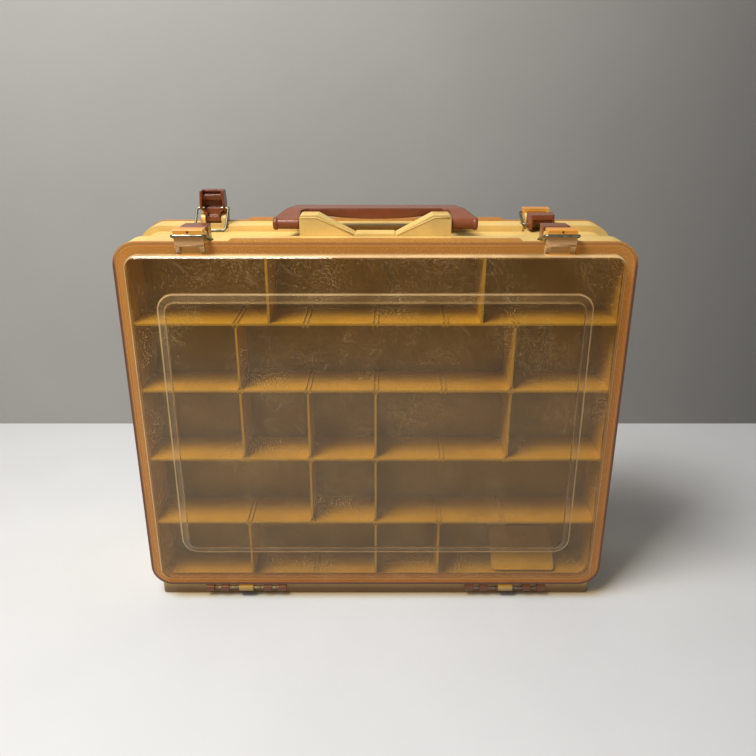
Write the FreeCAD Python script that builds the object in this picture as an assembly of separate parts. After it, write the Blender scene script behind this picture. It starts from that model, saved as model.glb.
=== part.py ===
import FreeCAD
import Part
import math
import os

# Double-sided carrying case for small tackle, standing on its hinge edge.
# Two open trays stand back to back, and each is closed by a clear lid hinged at the bottom.
# X runs along the case, Y from the front lid to the back lid and Z up. All sizes are millimetres.
# The origin is under the middle of the case, on the surface that it stands on.

os.makedirs("parts", exist_ok=True)
V = FreeCAD.Vector

# Case as a whole
lid_width = 394.0
lid_height = 305.0
foot_height = 13.0
tray_depth = 45.0
lid_corner_radius = 18.0
level = foot_height + lid_height

# Slack for picking an edge by its place
near = 0.1

# Tray shell
rim_step = 0.6
rim_band = 22.5
waist_depth = 5.0
waist_bottom_depth = 1.0
waist_corner_radius = 14.0
cavity_side_margin = 9.0
cavity_top_margin = 11.0
cavity_bottom_margin = 4.6
cavity_corner_radius = 6.0
web_thickness = 2.5

# Foot rail under each tray
foot_setback = 3.0
foot_rail_width = 18.0
foot_end_inset = 6.0
foot_corner_radius = 3.5
foot_recess_depth = 2.0
foot_recess_lip = 2.5

# Rows of compartments, from the top row down
row_shelf_thickness = 2.0
row_heights = [53.0, 54.0, 59.5, 58.5]
edge_setback = 0.4
guide_pitch = 54.4
guide_width = 1.2
guide_height = 1.4
guide_slot = 2.2
fixed_wall_place = 82.5
fixed_wall_thickness = 2.0
divider_thickness = 1.8
divider_gap = 0.3
divider_corner_radius = 3.0
front_divider_slots = {2: [-2, 2], 3: [-2, -1, 0, 2], 4: [-1, 0], 5: [-2, 0, 1]}
back_divider_slots = {2: [0], 3: [-1, 1], 4: [-2, 2], 5: [0]}
spare_divider_end_margin = 65.0
spare_divider_foot = 36.0
spare_divider_gap = 0.15

# Lid shell
lid_gap = 0.2
lid_wall = 2.2
lid_flange_width = 9.0
lid_hem_width = 3.4
lid_hem_rise = 0.6
lid_bevel_run = 1.0
lid_bevel_rise = 7.0
lid_bevel_corner_radius = 10.0
lid_face_corner_radius = 9.0
lid_face_chamfer = 1.2
panel_side_margin = 32.0
panel_end_margin = 38.5
panel_bevel_run = 6.0
panel_bevel_rise = 3.7
panel_corner_radius = 12.0
panel_top_corner_radius = 8.0
panel_edge_radius = 0.8
crest_half_width = 107.0
crest_slope = 3.0
crest_height = 2.3

# Hinges
hinge_end_margin = 82.0
hinge_length = 71.0
hinge_knuckle_radius = 3.0
hinge_pin_radius = 1.2
hinge_clearance = 0.05
hinge_axis_forward = 1.5
hinge_axis_height = 8.5
hinge_middle_knuckle = 12.5
hinge_outer_knuckle = 7.0
hinge_inner_knuckle_place = 19.0
hinge_leaf_root = 1.0

# Latches. Out is away from the middle of the case, and up is from the top of the lid flange.
latch_end_margin = 60.0
latch_pivot_setback = 3.2
latch_pivot_up = 1.9
latch_pin_radius = 1.3
latch_pin_clearance = 0.05
latch_pin_fit = 0.02
ear_inside = 6.7
ear_thickness = 4.0
ear_radius = 4.8
ear_front_gap = 0.2
pocket_half_width = 15.2
pocket_front_wall = 6.0
slot_drop = 1.6

# Latch lever, measured from its pivot
lever_neck_half_width = 6.3
lever_barrel_radius = 2.7
lever_heel_gap = 0.3
lever_rail_start = 3.6
lever_flare_start = 5.3
lever_flare_end = 9.0
lever_head_gap = 0.3
lever_length = 24.0
lever_half_width = 10.45
lever_tip_half_width = 9.7
lever_top = 6.7
lever_bottom = 5.2
lever_wall = 1.8
lever_roof = 2.0
lever_step_wall = 1.0
lever_tip_wall = 3.9
lever_tip_corner_radius = 1.6
lever_rib_start = 13.6
lever_rib_end = 20.2
lever_rib_drop = 6.0

# Wire bail, hooked in the lid's keeper
bail_wire_radius = 1.05
bail_pivot_along = 9.5
bail_pivot_below = 3.3
bail_hole_clearance = 0.08
bail_pivot_half_width = 13.2
bail_bar_half_width = 12.6
bail_end_half_width = 6.9
bail_bend_radius = 2.4
bail_bar_reach = 9.4
bail_bar_up = 5.5
bail_floor_gap = 0.15

# Keeper on the lid, with the lip that holds the bail
keeper_half_width = 10.9
keeper_top = 10.0
keeper_bar_gap = 0.25
keeper_lip_reach = 2.1
keeper_lip_radius = 0.7
keeper_foot = 2.5
keeper_heel = 6.0
keeper_wall = 2.2
gusset_width = 3.4
gusset_drop = 9.5
gusset_toe = 1.0

# Handle guard
guard_half_width = 58.3
guard_overhang = 1.5
guard_seat_gap = 0.2
guard_depth = 17.0
guard_top = 15.5
guard_shoulder = 44.0
guard_slope_foot = 15.0
guard_bridge_height = 6.8
guard_wall = 2.5
guard_corner_radius = 2.5
guard_bead_height = 0.7
guard_bead_width = 1.4
guard_bead_place = 9.5

# Handle, lying back
handle_pivot_place = 7.0
handle_pivot_up = 8.0
handle_pin_radius = 2.4
handle_pin_clearance = 0.05
handle_pin_fit = 0.02
handle_pin_tip_gap = 1.5
handle_boss_radius = 4.2
handle_boss_end = 78.5
handle_side_gap = 0.8
handle_reach = 44.0
handle_grip_width = 21.0
handle_end_half_width = 64.5
handle_top = 16.0
handle_arm_bottom = 5.4
handle_belly = 7.7
handle_belly_radius = 330.0
handle_grip_bottom = 7.0
handle_corner_radius = 7.0
handle_edge_radius = 2.2
guard_pin_boss_radius = 4.6
guard_pin_boss_length = 6.0


def box(x0, x1, y0, y1, z0, z1):
    return Part.makeBox(x1 - x0, y1 - y0, z1 - z0, V(x0, y0, z0))


def rod(radius, start, end):
    line = end - start
    return Part.makeCylinder(radius, line.Length, start, line)


def prism(points, direction):
    wire = Part.makePolygon(points + points[:1])
    return Part.Face(wire).extrude(direction)


def prism_along_x(outline, x0, x1):
    return prism([V(x0, y, z) for y, z in outline], V(x1 - x0, 0, 0))


def prism_along_y(outline, y0, y1):
    return prism([V(x, y0, z) for x, z in outline], V(0, y1 - y0, 0))


def prism_along_z(outline, z0, z1):
    return prism([V(x, y, z0) for x, y in outline], V(0, 0, z1 - z0))


def outline(half_width, bottom, top, radius):
    return {"half_width": half_width, "bottom": bottom, "top": top, "radius": radius}


def drawn_in(frame, margin, radius):
    half_width = frame["half_width"] - margin
    return outline(half_width, frame["bottom"] + margin, frame["top"] - margin, radius)


def rounded_wire(frame, y):
    """Rectangle with rounded corners, standing in the plane at y."""
    half_width = frame["half_width"]
    bottom = frame["bottom"]
    top = frame["top"]
    radius = frame["radius"]
    corners = [(1, 1, 0), (-1, 1, 90), (-1, -1, 180), (1, -1, 270)]
    ends = []
    edges = []
    for side, height, start in corners:
        centre_x = side * (half_width - radius)
        centre_z = top - radius if height > 0 else bottom + radius
        points = []
        for turn in (0, 45, 90):
            angle = math.radians(start + turn)
            points.append(V(centre_x + radius * math.cos(angle), y, centre_z + radius * math.sin(angle)))
        if ends:
            edges.append(Part.makeLine(ends[-1], points[0]))
        edges.append(Part.Arc(*points).toShape())
        ends.append(points[0])
        ends.append(points[2])
    edges.append(Part.makeLine(ends[-1], ends[0]))
    return Part.Wire(edges)


def slab(frame, y0, y1):
    return Part.Face(rounded_wire(frame, y0)).extrude(V(0, y1 - y0, 0))


def tapered_slab(frame0, y0, frame1, y1):
    return Part.makeLoft([rounded_wire(frame0, y0), rounded_wire(frame1, y1)], True, True)


def front_edges(shape, y):
    """Edges that lie in the upright plane at y."""
    return [edge for edge in shape.Edges if edge.BoundBox.YMin > y - near and edge.BoundBox.YMax < y + near]


def upright_edges(shape, axis):
    """Straight edges that run along one of the axes X, Y or Z."""
    chosen = []
    for edge in shape.Edges:
        if edge.Curve.TypeId != "Part::GeomLine":
            continue
        along = edge.tangentAt(edge.FirstParameter)
        if abs(abs(along.dot(axis)) - 1.0) < 1e-6:
            chosen.append(edge)
    return chosen


def turned(shape):
    """The same piece on the other side of the case."""
    copy = shape.copy()
    copy.rotate(V(0, 0, 0), V(0, 0, 1), 180)
    return copy


def moved(shape, x, y, z):
    copy = shape.copy()
    copy.translate(V(x, y, z))
    return copy


def bent_wire_path(points, bend_radius):
    """Straight runs joined by tangent arcs."""
    edges = []
    start = points[0]
    for before, corner, after in zip(points, points[1:], points[2:]):
        inward = (before - corner).normalize()
        outward = (after - corner).normalize()
        half_angle = inward.getAngle(outward) / 2
        setback = bend_radius / math.tan(half_angle)
        bisector = (inward + outward).normalize()
        centre = corner + bisector * (bend_radius / math.sin(half_angle))
        arc_start = corner + inward * setback
        arc_end = corner + outward * setback
        arc_middle = centre - bisector * bend_radius
        edges.append(Part.makeLine(start, arc_start))
        edges.append(Part.Arc(arc_start, arc_middle, arc_end).toShape())
        start = arc_end
    edges.append(Part.makeLine(start, points[-1]))
    return Part.Wire(edges)


def swept_wire(path, radius):
    first = path.Edges[0]
    start = first.Vertexes[0].Point
    circle = Part.makeCircle(radius, start, first.tangentAt(first.FirstParameter))
    return path.makePipeShell([Part.Wire([circle])], True, False)


# Outlines that the pieces share
lid_outline = outline(lid_width / 2, foot_height, level, lid_corner_radius)
rim_outline = drawn_in(lid_outline, rim_step, lid_corner_radius - rim_step)
waist_outline = outline(rim_outline["half_width"] - waist_depth, rim_outline["bottom"] + waist_bottom_depth,
                        rim_outline["top"] - waist_depth, waist_corner_radius)
cavity_outline = outline(lid_width / 2 - cavity_side_margin, foot_height + cavity_bottom_margin,
                         level - cavity_top_margin, cavity_corner_radius)
channel_floor = waist_outline["top"]
rim_top = rim_outline["top"]
cavity_half_width = cavity_outline["half_width"]
foot_front = -(tray_depth - foot_setback)
foot_back = foot_front + foot_rail_width
hinge_axis_y = -(tray_depth + hinge_axis_forward)
hinge_place = lid_width / 2 - hinge_end_margin
latch_place = lid_width / 2 - latch_end_margin
spare_divider_place = lid_width / 2 - spare_divider_end_margin
latch_pivot_out = tray_depth - latch_pivot_setback
bail_bar_out = tray_depth + bail_bar_reach
pocket_reach = tray_depth - pocket_front_wall
pivot_y = -latch_pivot_out
pivot_z = level + latch_pivot_up
guard_front = -(tray_depth - rim_band) - guard_overhang
guard_back = guard_front + guard_depth
handle_axis_y = guard_front + handle_pivot_place
handle_axis_z = level + handle_pivot_up
guard_pin_boss_end = guard_half_width - guard_wall - guard_pin_boss_length

# The lever's full height starts where it clears the keeper, when it stands up
lever_head_start = keeper_top - latch_pivot_up + lever_head_gap

# The bail's pivot and direction, with its lever closed and with its lever open
bail_pivot_out = latch_pivot_out - bail_pivot_along
bail_pivot_up = latch_pivot_up - bail_pivot_below
bail_reach = math.hypot(bail_bar_out - bail_pivot_out, bail_bar_up - bail_pivot_up)
hooked_angle = math.degrees(math.atan2(bail_bar_up - bail_pivot_up, bail_bar_out - bail_pivot_out))
open_bail_pivot_out = latch_pivot_out - bail_pivot_below
open_bail_pivot_up = latch_pivot_up + bail_pivot_along
open_bar_up = channel_floor - level + bail_wire_radius + bail_floor_gap
dropped_angle = 180 + math.degrees(math.asin((open_bail_pivot_up - open_bar_up) / bail_reach))


def shelf_bottoms():
    """Lower face of each row shelf, from the top row down."""
    bottoms = []
    height = cavity_outline["top"]
    for row_height in row_heights:
        height = height - row_height - row_shelf_thickness
        bottoms.append(height)
    return bottoms


def row_span(row):
    """Floor and ceiling of a row of compartments, where row 1 is the top one."""
    bottoms = shelf_bottoms()
    ceiling = cavity_outline["top"] if row == 1 else bottoms[row - 2]
    floor = cavity_outline["bottom"] if row > len(bottoms) else bottoms[row - 1] + row_shelf_thickness
    return floor, ceiling


def guide_ribs(z0, z1):
    """Pairs of ribs that hold a divider upright, at every place where one can stand."""
    ribs = []
    for step in (-2, -1, 0, 1, 2):
        for side in (-1, 1):
            inner = step * guide_pitch + side * guide_slot / 2
            outer = inner + side * guide_width
            ribs.append(box(min(inner, outer), max(inner, outer), -(tray_depth - edge_setback),
                            -web_thickness, z0, z1))
    return ribs


def make_foot_rail():
    """Rail that the tray stands on, hollow below, with the tray's half of the hinges."""
    half_width = lid_width / 2 - foot_end_inset
    rail = box(-half_width, half_width, foot_front, foot_back, 0, rim_outline["bottom"])
    rail = rail.makeFillet(foot_corner_radius, upright_edges(rail, V(0, 0, 1)))
    recess = box(-half_width + foot_recess_lip, half_width - foot_recess_lip, foot_front + foot_recess_lip,
                 foot_back - foot_recess_lip, 0, foot_recess_depth)
    rail = rail.cut(recess)
    for x in (-hinge_place, hinge_place):
        knuckle, bore = rail_knuckle(x)
        rail = rail.fuse(knuckle).cut(bore)
    return rail.removeSplitter()


def rail_knuckle(x):
    half = hinge_middle_knuckle / 2
    barrel = rod(hinge_knuckle_radius, V(x - half, hinge_axis_y, hinge_axis_height),
                 V(x + half, hinge_axis_y, hinge_axis_height))
    leaf = box(x - half, x + half, hinge_axis_y, foot_front + hinge_leaf_root,
               hinge_axis_height - hinge_knuckle_radius, hinge_axis_height + hinge_knuckle_radius)
    bore = rod(hinge_pin_radius + hinge_clearance, V(x - half, hinge_axis_y, hinge_axis_height),
               V(x + half, hinge_axis_y, hinge_axis_height))
    return barrel.fuse(leaf), bore


def latch_ears(x):
    """Pair of ears that carry the lever's pin, rounded about the pin."""
    front = -(tray_depth - ear_front_gap)
    rise = math.sqrt(ear_radius ** 2 - (pivot_y - front) ** 2)
    corner = V(0, front, pivot_z + rise)
    back = V(0, pivot_y + ear_radius, pivot_z)
    angle = (math.pi - math.asin(rise / ear_radius)) / 2
    middle = V(0, pivot_y + ear_radius * math.cos(angle), pivot_z + ear_radius * math.sin(angle))
    low_front = V(0, front, channel_floor - rim_step)
    low_back = V(0, pivot_y + ear_radius, channel_floor - rim_step)
    wire = Part.Wire([Part.makeLine(low_front, corner), Part.Arc(corner, middle, back).toShape(),
                      Part.makeLine(back, low_back), Part.makeLine(low_back, low_front)])
    profile = Part.Face(wire)
    ears = []
    for side in (-1, 1):
        start = ear_inside if side > 0 else -ear_inside - ear_thickness
        ears.append(moved(profile.extrude(V(ear_thickness, 0, 0)), x + start, 0, 0))
    return ears


def latch_pocket(x):
    """Open pocket in the rim for the lever and the bail, with a slot between the ears."""
    above = level + keeper_top
    pocket = box(x - pocket_half_width, x + pocket_half_width, -pocket_reach, 0, channel_floor, above)
    slot = box(x - ear_inside, x + ear_inside, -tray_depth, -pocket_reach, level - slot_drop, above)
    return pocket.fuse(slot)


def make_tray():
    """Frame of the tray: its rim, its narrower waist and the ears of its latches."""
    tray = slab(rim_outline, -tray_depth, -tray_depth + rim_band)
    tray = tray.fuse(slab(waist_outline, -tray_depth + rim_band, 0))
    tray = tray.cut(slab(cavity_outline, -tray_depth, 0))
    floor = cavity_outline["bottom"]
    for rib in guide_ribs(floor, floor + guide_height):
        tray = tray.fuse(rib)
    for x in (-latch_place, latch_place):
        tray = tray.cut(latch_pocket(x))
        for ear in latch_ears(x):
            tray = tray.fuse(ear)
        reach = ear_inside + ear_thickness
        tray = tray.cut(rod(latch_pin_radius + latch_pin_fit, V(x - reach, pivot_y, pivot_z),
                            V(x + reach, pivot_y, pivot_z)))
    return tray.removeSplitter()


def make_tray_floor():
    """Plate that closes the back of the compartments."""
    return slab(cavity_outline, -web_thickness, 0)


def guard_seat():
    """Notch in the front tray's rim, where the handle guard stands."""
    half_width = guard_half_width + guard_seat_gap
    return box(-half_width, half_width, guard_front - guard_seat_gap, guard_back, channel_floor, level)


def make_shelf(index):
    bottom = shelf_bottoms()[index]
    top = bottom + row_shelf_thickness
    shelf = box(-cavity_half_width, cavity_half_width, -(tray_depth - edge_setback), -web_thickness,
                bottom, top)
    for rib in guide_ribs(bottom - guide_height, bottom) + guide_ribs(top, top + guide_height):
        shelf = shelf.fuse(rib)
    return shelf.removeSplitter()


def make_fixed_wall(side):
    floor, ceiling = row_span(1)
    x = side * fixed_wall_place
    half = fixed_wall_thickness / 2
    return box(x - half, x + half, -(tray_depth - edge_setback), -web_thickness, floor, ceiling)


def make_divider(row, step):
    floor, ceiling = row_span(row)
    x = step * guide_pitch
    half = divider_thickness / 2
    plate = box(x - half, x + half, -(tray_depth - 2 * edge_setback), -(web_thickness + divider_gap),
                floor + divider_gap, ceiling - divider_gap)
    front = [edge for edge in upright_edges(plate, V(1, 0, 0)) if edge.CenterOfMass.y < -tray_depth / 2]
    return plate.makeFillet(divider_corner_radius, front)


def make_spare_divider():
    """A divider of the bottom row, lying on its edge and leaning on the web."""
    floor, ceiling = row_span(len(row_heights) + 1)
    width = ceiling - floor - 2 * divider_gap
    length = tray_depth - 2 * edge_setback - web_thickness - divider_gap
    run = spare_divider_foot - web_thickness - spare_divider_gap
    lean = math.acos((run - divider_thickness / 2) / length)
    plate = box(-width / 2, width / 2, 0, length, 0, divider_thickness)
    plate = plate.makeFillet(divider_corner_radius, upright_edges(plate, V(0, 0, 1)))
    plate.rotate(V(0, 0, 0), V(1, 0, 0), math.degrees(lean))
    low = plate.BoundBox
    return moved(plate, spare_divider_place, -web_thickness - spare_divider_gap - low.YMax,
                 floor + guide_height + spare_divider_gap - low.ZMin)


def lid_knuckles(x):
    barrels = []
    bores = []
    outer = hinge_length / 2 - hinge_outer_knuckle / 2
    half = hinge_outer_knuckle / 2
    for place in (-outer, -hinge_inner_knuckle_place, hinge_inner_knuckle_place, outer):
        start = V(x + place - half, hinge_axis_y, hinge_axis_height)
        end = V(x + place + half, hinge_axis_y, hinge_axis_height)
        leaf = box(start.x, end.x, -(tray_depth + lid_gap + lid_wall), -(tray_depth + lid_gap),
                   hinge_axis_height, foot_height + hinge_leaf_root)
        barrels.append(rod(hinge_knuckle_radius, start, end).fuse(leaf))
        bores.append(rod(hinge_pin_radius + hinge_clearance, start, end))
    return barrels, bores


def keeper(x):
    """Hook on the lid: a lip over the bail's bar, standing on two gussets."""
    back = -(tray_depth + lid_gap)
    plate = back - lid_wall
    clear = bail_wire_radius + keeper_bar_gap
    face = -(bail_bar_out - clear)
    lip = face - keeper_lip_reach
    lip_bottom = bail_bar_up + clear
    profile = [(back, -keeper_heel), (back, keeper_top), (lip, keeper_top), (lip, lip_bottom),
               (face, lip_bottom), (face, -keeper_foot), (plate, -keeper_foot), (plate, -keeper_heel)]
    hook = prism_along_x([(y, level + z) for y, z in profile], x - keeper_half_width, x + keeper_half_width)
    lip_edges = [edge for edge in upright_edges(hook, V(1, 0, 0))
                 if edge.CenterOfMass.y < face - near and edge.CenterOfMass.z > level + lip_bottom + near]
    hook = hook.makeFillet(keeper_lip_radius, lip_edges)
    core = box(x - keeper_half_width + keeper_wall, x + keeper_half_width - keeper_wall,
               face + keeper_wall, back, level - keeper_foot + keeper_wall, level + keeper_top - keeper_wall)
    gusset = [(plate + lid_wall / 2, -keeper_foot), (face, -keeper_foot), (face, -keeper_foot - gusset_toe),
              (plate - gusset_toe, -gusset_drop), (plate + lid_wall / 2, -gusset_drop)]
    gusset = [(y, level + z) for y, z in gusset]
    gussets = []
    for side in (-1, 1):
        outer = x + side * keeper_half_width
        inner = outer - side * gusset_width
        gussets.append(prism_along_x(gusset, min(inner, outer), max(inner, outer)))
    return hook, core, gussets


def make_lid():
    back = -(tray_depth + lid_gap)
    front = back - lid_wall
    face = front - lid_bevel_rise
    panel_front = face - panel_bevel_rise
    foot = drawn_in(lid_outline, lid_flange_width, lid_bevel_corner_radius)
    top = drawn_in(foot, lid_bevel_run, lid_face_corner_radius)
    panel_base = outline(lid_width / 2 - panel_side_margin, foot_height + panel_end_margin,
                         level - panel_end_margin, panel_corner_radius)
    panel_top = drawn_in(panel_base, panel_bevel_run, panel_top_corner_radius)
    lid = slab(lid_outline, front - lid_hem_rise, back)
    hem_inside = drawn_in(lid_outline, lid_hem_width, lid_corner_radius - lid_hem_width)
    lid = lid.cut(slab(hem_inside, front - lid_hem_rise, front))
    crest_foot = crest_half_width + crest_slope
    crest = [(-crest_foot, level - crest_slope), (crest_foot, level - crest_slope), (crest_foot, level),
             (crest_half_width, level + crest_height), (-crest_half_width, level + crest_height),
             (-crest_foot, level)]
    lid = lid.fuse(prism_along_y(crest, front - lid_hem_rise, back))
    raised = tapered_slab(foot, front, top, face)
    lid = lid.fuse(raised.makeChamfer(lid_face_chamfer, front_edges(raised, face)))
    panel = tapered_slab(panel_base, face, panel_top, panel_front)
    lid = lid.fuse(panel.makeFillet(panel_edge_radius, front_edges(panel, panel_front)))
    bevel_slope = lid_bevel_run / lid_bevel_rise
    panel_slope = panel_bevel_run / panel_bevel_rise
    bevel_shift = lid_wall * (math.hypot(1, bevel_slope) - bevel_slope)
    panel_shift = lid_wall * (math.hypot(1, panel_slope) - panel_slope)
    inner_foot = drawn_in(foot, bevel_shift, lid_bevel_corner_radius)
    inner_top = drawn_in(top, bevel_shift, lid_face_corner_radius)
    inner_base = drawn_in(panel_base, panel_shift, panel_corner_radius)
    inner_panel = drawn_in(panel_top, panel_shift, panel_top_corner_radius)
    lid = lid.cut(tapered_slab(inner_foot, back, inner_top, face + lid_wall))
    lid = lid.cut(tapered_slab(inner_base, face + lid_wall, inner_panel, panel_front + lid_wall))
    for x in (-latch_place, latch_place):
        hook, core, gussets = keeper(x)
        for gusset in gussets:
            lid = lid.fuse(gusset)
        lid = lid.fuse(hook).cut(core)
    for x in (-hinge_place, hinge_place):
        barrels, bores = lid_knuckles(x)
        for barrel in barrels:
            lid = lid.fuse(barrel)
        for bore in bores:
            lid = lid.cut(bore)
    return lid.removeSplitter()


def make_hinge_pin(x):
    half = hinge_length / 2
    return rod(hinge_pin_radius, V(x - half, hinge_axis_y, hinge_axis_height),
               V(x + half, hinge_axis_y, hinge_axis_height))


def make_latch_pin(x):
    reach = ear_inside + ear_thickness
    return rod(latch_pin_radius, V(x - reach, pivot_y, pivot_z), V(x + reach, pivot_y, pivot_z))


def lever_plan(wall, start, end):
    """The lever seen from above, drawn in by a wall; it starts and ends at the given places."""
    neck = lever_neck_half_width - wall
    half = lever_half_width - wall
    tip = lever_tip_half_width - wall
    right = [(neck, start), (neck, lever_flare_start), (half, lever_flare_end), (half, lever_rib_start),
             (tip, end)]
    return right + [(-x, y) for x, y in reversed(right)]


def make_lever():
    """Latch lever in its own frame: the pivot at the origin, the tip towards +Y and the roof up."""
    half = lever_half_width
    side_view = [(0, lever_barrel_radius), (lever_head_start, lever_barrel_radius),
                 (lever_head_start, lever_top), (lever_length, lever_top), (lever_length, -lever_bottom),
                 (lever_rail_start, -lever_bottom), (lever_rail_start, -lever_barrel_radius),
                 (0, -lever_barrel_radius)]
    plan = prism_along_z(lever_plan(0, 0, lever_length), -lever_bottom, lever_top)
    corners = [edge for edge in upright_edges(plan, V(0, 0, 1)) if edge.CenterOfMass.y > lever_length - near]
    plan = plan.makeFillet(lever_tip_corner_radius, corners)
    lever = prism_along_x(side_view, -half, half).common(plan)
    heel = lever_barrel_radius + lever_heel_gap
    step = lever_head_start + lever_step_wall
    end = lever_length - lever_wall
    side_hollow = [(heel, -lever_bottom), (heel, lever_barrel_radius - lever_roof),
                   (step, lever_barrel_radius - lever_roof), (step, lever_top - lever_roof),
                   (end, lever_top - lever_roof), (end, -lever_bottom)]
    hollow = prism_along_z(lever_plan(lever_wall, heel, end), -lever_bottom, lever_top)
    lever = lever.cut(prism_along_x(side_hollow, -half, half).common(hollow))
    mouth = box(-lever_tip_half_width + lever_wall, lever_tip_half_width - lever_wall,
                lever_length - lever_wall, lever_length, -lever_bottom, lever_top - lever_tip_wall)
    lever = lever.cut(mouth)
    rib_half_width = lever_tip_half_width - lever_wall / 2
    rib_foot = lever_top - lever_roof / 2
    rib_edge = lever_top - lever_rib_drop
    rib = [(lever_rib_start, rib_foot), (lever_rib_start + lever_roof, rib_edge),
           (lever_rib_end, rib_edge - lever_roof), (lever_rib_end, rib_foot)]
    lever = lever.fuse(prism_along_x(rib, -rib_half_width, rib_half_width))
    neck = lever_neck_half_width
    lever = lever.fuse(rod(lever_barrel_radius, V(-neck, 0, 0), V(neck, 0, 0)))
    lever = lever.cut(rod(latch_pin_radius + latch_pin_clearance, V(-neck, 0, 0), V(neck, 0, 0)))
    hole_start = V(-half, bail_pivot_along, -bail_pivot_below)
    hole_end = V(half, bail_pivot_along, -bail_pivot_below)
    return lever.cut(rod(bail_wire_radius + bail_hole_clearance, hole_start, hole_end)).removeSplitter()


def make_bail():
    """Wire loop in its own frame: its pivot at the origin and the bar towards -Y."""
    points = [V(-bail_end_half_width, 0, 0), V(-bail_pivot_half_width, 0, 0),
              V(-bail_bar_half_width, -bail_reach, 0), V(bail_bar_half_width, -bail_reach, 0),
              V(bail_pivot_half_width, 0, 0), V(bail_end_half_width, 0, 0)]
    return swept_wire(bent_wire_path(points, bail_bend_radius), bail_wire_radius)


def placed_lever(x, opened):
    lever = make_lever()
    lever.rotate(V(0, 0, 0), V(1, 0, 0), opened)
    return moved(lever, x, pivot_y, pivot_z)


def placed_bail(x, pivot_out, pivot_up, angle):
    """Bail turned about its pivot; the angle is measured from level outwards, and up."""
    bail = make_bail()
    bail.rotate(V(0, 0, 0), V(1, 0, 0), -angle)
    return moved(bail, x, -pivot_out, level + pivot_up)


def guard_outline(shrink):
    """Half of the guard's front view, from the middle out; shrink draws the top and the slope in."""
    foot = channel_floor
    slope = (guard_shoulder - guard_slope_foot) / guard_top
    shift = shrink * math.hypot(1, slope)
    return [(guard_half_width - shrink, foot), (guard_half_width - shrink, level + guard_top - shrink),
            (guard_shoulder + shift - shrink * slope, level + guard_top - shrink),
            (guard_slope_foot + shift + slope * (foot - level), foot)]


def make_guard():
    """Guard in front of the handle: two hollow cheeks joined by a low bridge."""
    guard = None
    for side in (-1, 1):
        points = [(side * x, z) for x, z in guard_outline(0)]
        cheek = prism_along_y(points, guard_front, guard_back)
        corner = [edge for edge in upright_edges(cheek, V(0, 1, 0))
                  if abs(edge.CenterOfMass.x) > guard_half_width - near and edge.CenterOfMass.z > level]
        cheek = cheek.makeFillet(guard_corner_radius, corner)
        hollow = prism_along_y([(side * x, z) for x, z in guard_outline(guard_wall)],
                               guard_front + guard_wall, guard_back)
        cheek = cheek.cut(hollow)
        boss_root = V(side * (guard_half_width - guard_wall), handle_axis_y, handle_axis_z)
        boss = rod(guard_pin_boss_radius, boss_root, V(side * guard_pin_boss_end, handle_axis_y, handle_axis_z))
        cheek = cheek.fuse(boss)
        bead_y = guard_front + guard_bead_place
        bead = box(min(side * guard_shoulder, side * (guard_half_width - guard_corner_radius)),
                   max(side * guard_shoulder, side * (guard_half_width - guard_corner_radius)),
                   bead_y - guard_bead_width / 2, bead_y + guard_bead_width / 2,
                   level + guard_top - guard_wall / 2, level + guard_top + guard_bead_height)
        cheek = cheek.fuse(bead)
        guard = cheek if guard is None else guard.fuse(cheek)
    bridge = box(-guard_slope_foot, guard_slope_foot, guard_front, guard_back,
                 channel_floor, channel_floor + guard_bridge_height)
    guard = guard.fuse(bridge)
    for side in (-1, 1):
        outer = V(side * guard_half_width, handle_axis_y, handle_axis_z)
        inner = V(side * guard_pin_boss_end, handle_axis_y, handle_axis_z)
        guard = guard.cut(rod(handle_pin_radius + handle_pin_fit, outer, inner))
    return guard.removeSplitter()


def make_handle_pin(side):
    outer = handle_boss_end - handle_pin_tip_gap - handle_pin_clearance
    return rod(handle_pin_radius, V(side * guard_pin_boss_end, handle_axis_y, handle_axis_z),
               V(side * outer, handle_axis_y, handle_axis_z))


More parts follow.
